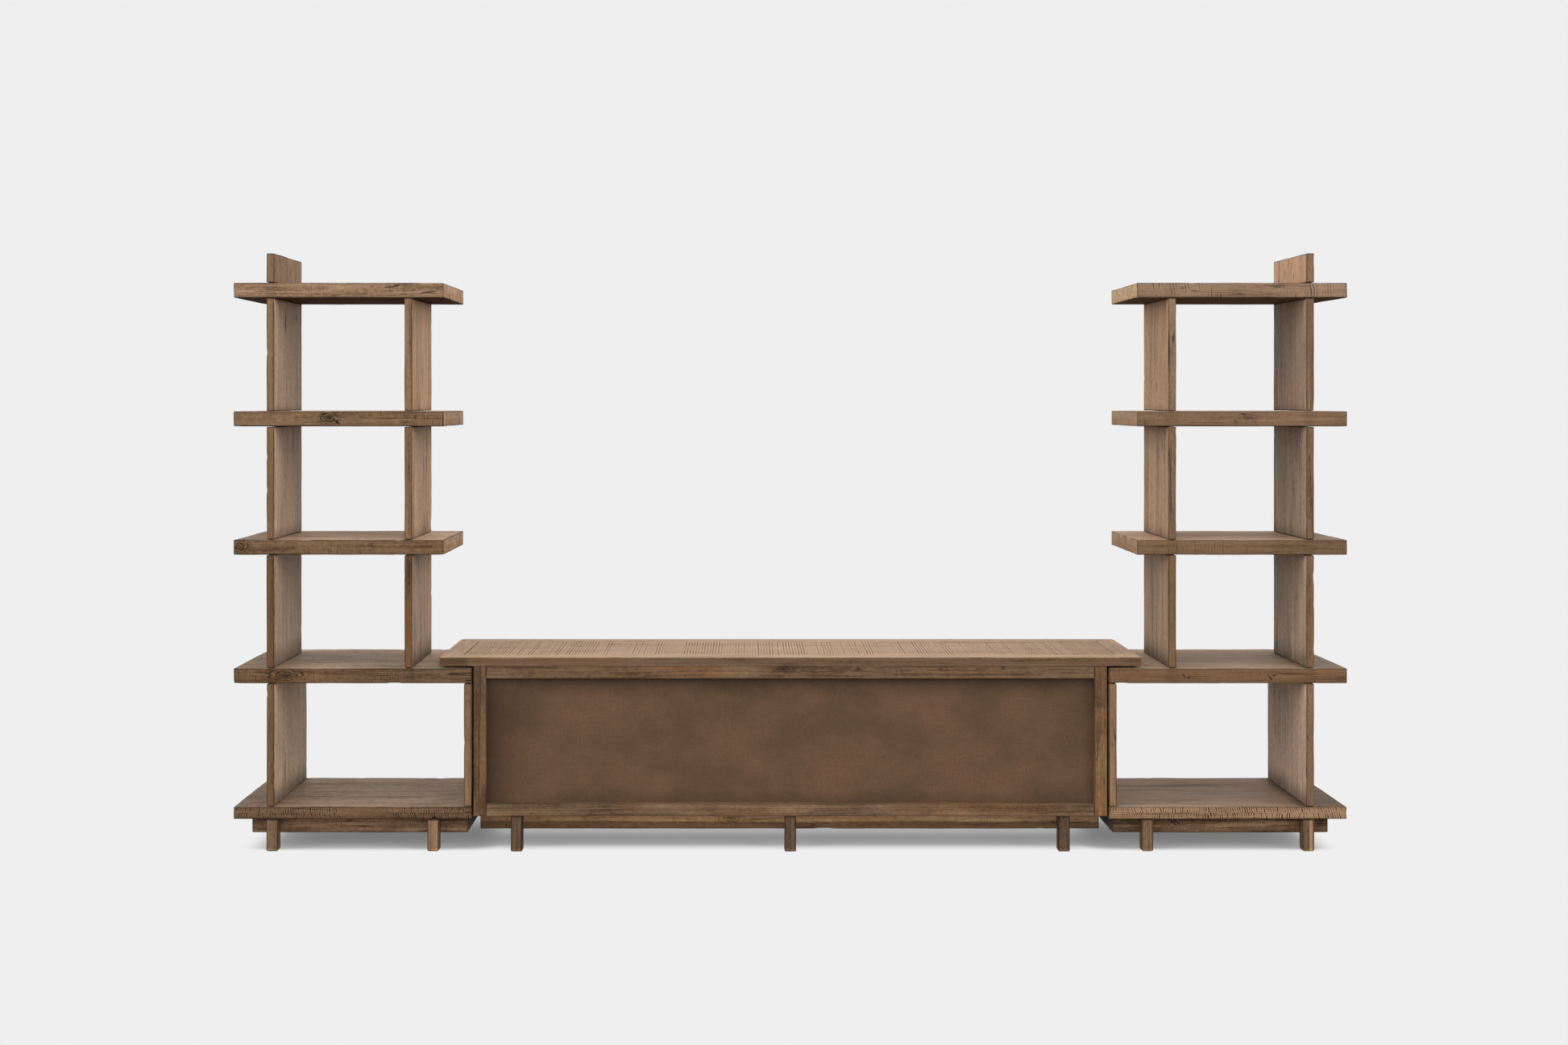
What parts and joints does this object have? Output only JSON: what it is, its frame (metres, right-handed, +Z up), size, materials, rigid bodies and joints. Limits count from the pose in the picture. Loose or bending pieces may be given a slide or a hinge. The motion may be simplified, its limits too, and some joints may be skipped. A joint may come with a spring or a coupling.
{
  "type": "entertainment center",
  "caption": "Low cupboard console with sliding doors, flanked by open shelf towers in stained rustic pine; its top overhangs the towers' low shelves.",
  "frame": {"origin": "on the floor, under the middle of the whole set", "axes": "+X to the right when the closed back of the console is in front of the viewer, +Y from that back towards the sliding doors, +Z up"},
  "size_m": [3.636, 0.45, 1.954],
  "materials": {
    "shelf_wood": "brown stained rustic pine, matt, with saw marks and knots",
    "upright_wood": "brown stained pine boards, matt",
    "frame_wood": "darker brown stained pine, matt",
    "top_wood": "paler stained pine with marks across the boards, matt",
    "leg_wood": "brown stained pine, matt",
    "plinth_wood": "dark stained pine rails, paler at the console's upper edge",
    "back_sheet": "smooth toned brown sheet, darker at its edges",
    "door_wood": "brown stained pine boards, matt",
    "aged_brass": "aged, satin"
  },
  "bodies": {
    "furniture_set": {"console_back_sheet": "back_sheet", "console_bottom_panel": "frame_wood", "console_head_rail": "frame_wood", "console_leg_front_left": "leg_wood", "console_leg_front_middle": "leg_wood", "console_leg_front_right": "leg_wood", "console_leg_rear_left": "leg_wood", "console_leg_rear_middle": "leg_wood", "console_leg_rear_right": "leg_wood", "console_partition": "frame_wood", "console_plinth_frame": "plinth_wood", "console_rear_rail": "frame_wood", "console_shelf_left": "frame_wood", "console_shelf_right": "frame_wood", "console_side_left": "frame_wood", "console_side_right": "frame_wood", "console_top_border": "top_wood", "console_top_panel": "top_wood", "left_base_shelf": "shelf_wood", "left_high_shelf": "shelf_wood", "left_inner_panel": "upright_wood", "left_inner_upright_high": "upright_wood", "left_inner_upright_low": "upright_wood", "left_inner_upright_mid": "upright_wood", "left_leg_front_inner": "leg_wood", "left_leg_front_outer": "leg_wood", "left_leg_rear_inner": "leg_wood", "left_leg_rear_outer": "leg_wood", "left_low_shelf": "shelf_wood", "left_mid_shelf": "shelf_wood", "left_outer_panel": "upright_wood", "left_outer_upright_high": "upright_wood", "left_outer_upright_low": "upright_wood", "left_outer_upright_mid": "upright_wood", "left_outer_upright_top": "upright_wood", "left_plinth_frame": "plinth_wood", "left_top_shelf": "shelf_wood", "right_base_shelf": "shelf_wood", "right_high_shelf": "shelf_wood", "right_inner_panel": "upright_wood", "right_inner_upright_high": "upright_wood", "right_inner_upright_low": "upright_wood", "right_inner_upright_mid": "upright_wood", "right_leg_front_inner": "leg_wood", "right_leg_front_outer": "leg_wood", "right_leg_rear_inner": "leg_wood", "right_leg_rear_outer": "leg_wood", "right_low_shelf": "shelf_wood", "right_mid_shelf": "shelf_wood", "right_outer_panel": "upright_wood", "right_outer_upright_high": "upright_wood", "right_outer_upright_low": "upright_wood", "right_outer_upright_mid": "upright_wood", "right_outer_upright_top": "upright_wood", "right_plinth_frame": "plinth_wood", "right_top_shelf": "shelf_wood"},
    "left_door": {"console_door_left": "door_wood", "door_pull_left": "aged_brass"},
    "right_door": {"console_door_right": "door_wood", "door_pull_right": "aged_brass"}
  },
  "joints": [
    {"name": "left_door_slide", "type": "slide", "parent": "furniture_set", "child": "left_door", "axis": [1, 0, 0], "range_m": [0, 0.9775]},
    {"name": "right_door_slide", "type": "slide", "parent": "furniture_set", "child": "right_door", "axis": [-1, 0, 0], "range_m": [0, 0.9775]}
  ]
}
